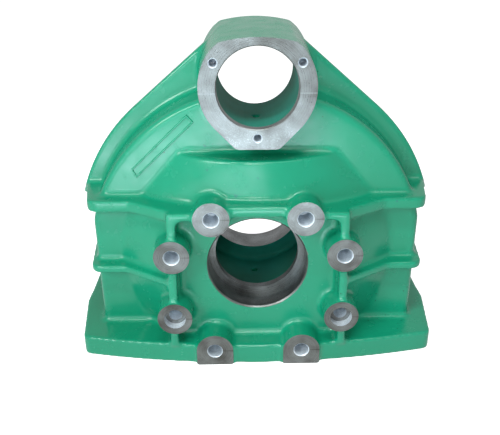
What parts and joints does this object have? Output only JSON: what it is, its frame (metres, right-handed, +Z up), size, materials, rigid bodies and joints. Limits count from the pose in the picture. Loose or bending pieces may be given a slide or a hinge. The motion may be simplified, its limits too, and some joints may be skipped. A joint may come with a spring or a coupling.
{
  "type": "gearbox housing",
  "caption": "Cast iron gearbox housing with two parallel bearing bores, a ring of machined bosses, ribs, a rimmed arch and a broad foot.",
  "frame": {"origin": "on the ground under the middle of the casting's outline", "axes": "+X to the right seen from the front, +Y from the machined boss faces to the rear seat, parallel to both bores, +Z up from the foot"},
  "size_m": [0.465, 0.259, 0.3992],
  "materials": {
    "painted_casting": "gloss"
  },
  "bodies": {
    "root": {"housing_casting": "painted_casting"}
  },
  "joints": []
}
